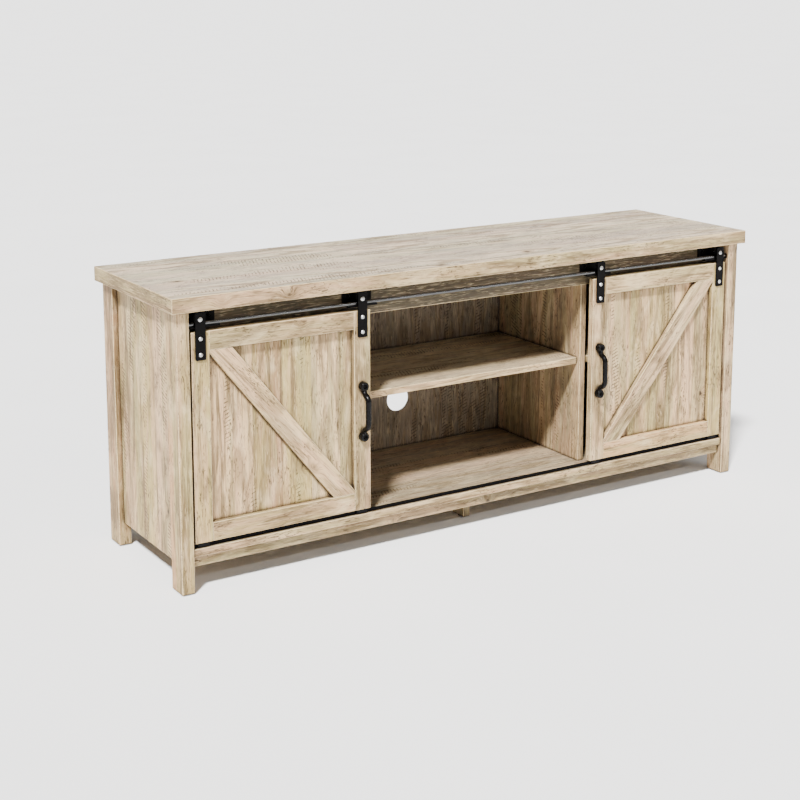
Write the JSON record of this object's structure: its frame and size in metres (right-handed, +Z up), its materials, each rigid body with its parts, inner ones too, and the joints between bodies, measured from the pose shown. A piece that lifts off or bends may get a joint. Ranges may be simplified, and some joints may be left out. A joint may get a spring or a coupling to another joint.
{
  "type": "tv stand with doors",
  "caption": "Low media console with sliding barn-style doors hung from a steel rod, open centre bay with a shelf, and overhanging top.",
  "frame": {"origin": "on the floor, under the centre of the overall box", "axes": "+X to the right along the width, -Y towards the front (doors), +Z up"},
  "size_m": [1.4732, 0.406, 0.5969],
  "materials": {
    "oak_laminate": "printed light greige oak laminate over engineered board, satin",
    "beech_dowel": "raw beech",
    "black_steel": "black powder coat, satin",
    "zinc_steel": "bright zinc plating",
    "black_nylon": "moulded nylon, matte"
  },
  "bodies": {
    "carcass": {"top_panel": "oak_laminate", "front_left_post": "oak_laminate", "front_right_post": "oak_laminate", "rear_left_post": "oak_laminate", "rear_right_post": "oak_laminate", "left_side_panel": "oak_laminate", "right_side_panel": "oak_laminate", "left_divider": "oak_laminate", "right_divider": "oak_laminate", "bottom_panel": "oak_laminate", "left_shelf": "oak_laminate", "centre_shelf": "oak_laminate", "right_shelf": "oak_laminate", "left_back_panel": "oak_laminate", "centre_back_panel": "oak_laminate", "right_back_panel": "oak_laminate", "header_board": "oak_laminate", "front_apron": "oak_laminate", "rear_apron": "oak_laminate", "centre_feet": "oak_laminate", "foot_glides": "black_nylon", "slide_rod": "black_steel", "rod_brackets": "black_steel", "bracket_bolts": "black_steel", "bottom_guide": "black_steel", "guide_screws": "black_steel", "shelf_pins": "zinc_steel", "dowels": "beech_dowel", "cam_fittings": "zinc_steel", "back_screws": "zinc_steel"},
    "left_door": {"left_door_panel": "oak_laminate", "left_door_inner_stile": "oak_laminate", "left_door_outer_stile": "oak_laminate", "left_door_top_rail": "oak_laminate", "left_door_bottom_rail": "oak_laminate", "left_door_brace": "oak_laminate", "left_door_straps": "black_steel", "left_strap_bolts": "zinc_steel", "left_roller_axles": "zinc_steel", "left_door_nuts": "zinc_steel", "left_guide_shoes": "black_nylon", "left_handle": "black_steel", "left_handle_screws": "black_steel"},
    "left_inner_roller": {"left_inner_roller": "black_nylon"},
    "left_outer_roller": {"left_outer_roller": "black_nylon"},
    "right_door": {"right_door_panel": "oak_laminate", "right_door_inner_stile": "oak_laminate", "right_door_outer_stile": "oak_laminate", "right_door_top_rail": "oak_laminate", "right_door_bottom_rail": "oak_laminate", "right_door_brace": "oak_laminate", "right_door_straps": "black_steel", "right_strap_bolts": "zinc_steel", "right_roller_axles": "zinc_steel", "right_door_nuts": "zinc_steel", "right_guide_shoes": "black_nylon", "right_handle": "black_steel", "right_handle_screws": "black_steel"},
    "right_inner_roller": {"right_inner_roller": "black_nylon"},
    "right_outer_roller": {"right_outer_roller": "black_nylon"}
  },
  "joints": [
    {"name": "left_door_slide", "type": "slide", "parent": "carcass", "child": "left_door", "axis": [1, 0, 0], "range_m": [0, 0.2851]},
    {"name": "left_inner_roller_spin", "type": "hinge", "parent": "left_door", "child": "left_inner_roller", "pos_m": [-0.3111, -0.16735, 0.5475], "axis": [0, 1, 0], "continuous": true},
    {"name": "left_outer_roller_spin", "type": "hinge", "parent": "left_door", "child": "left_outer_roller", "pos_m": [-0.6719, -0.16735, 0.5475], "axis": [0, 1, 0], "continuous": true},
    {"name": "right_door_slide", "type": "slide", "parent": "carcass", "child": "right_door", "axis": [-1, 0, 0], "range_m": [0, 0.2851]},
    {"name": "right_inner_roller_spin", "type": "hinge", "parent": "right_door", "child": "right_inner_roller", "pos_m": [0.3111, -0.16735, 0.5475], "axis": [0, -1, 0], "continuous": true},
    {"name": "right_outer_roller_spin", "type": "hinge", "parent": "right_door", "child": "right_outer_roller", "pos_m": [0.6719, -0.16735, 0.5475], "axis": [0, -1, 0], "continuous": true}
  ],
  "couplings": [
    {"joint": "left_inner_roller_spin", "follows": "left_door_slide", "rad_per_m": 181.82},
    {"joint": "left_outer_roller_spin", "follows": "left_door_slide", "rad_per_m": 181.82},
    {"joint": "right_inner_roller_spin", "follows": "right_door_slide", "rad_per_m": 181.82},
    {"joint": "right_outer_roller_spin", "follows": "right_door_slide", "rad_per_m": 181.82}
  ]
}
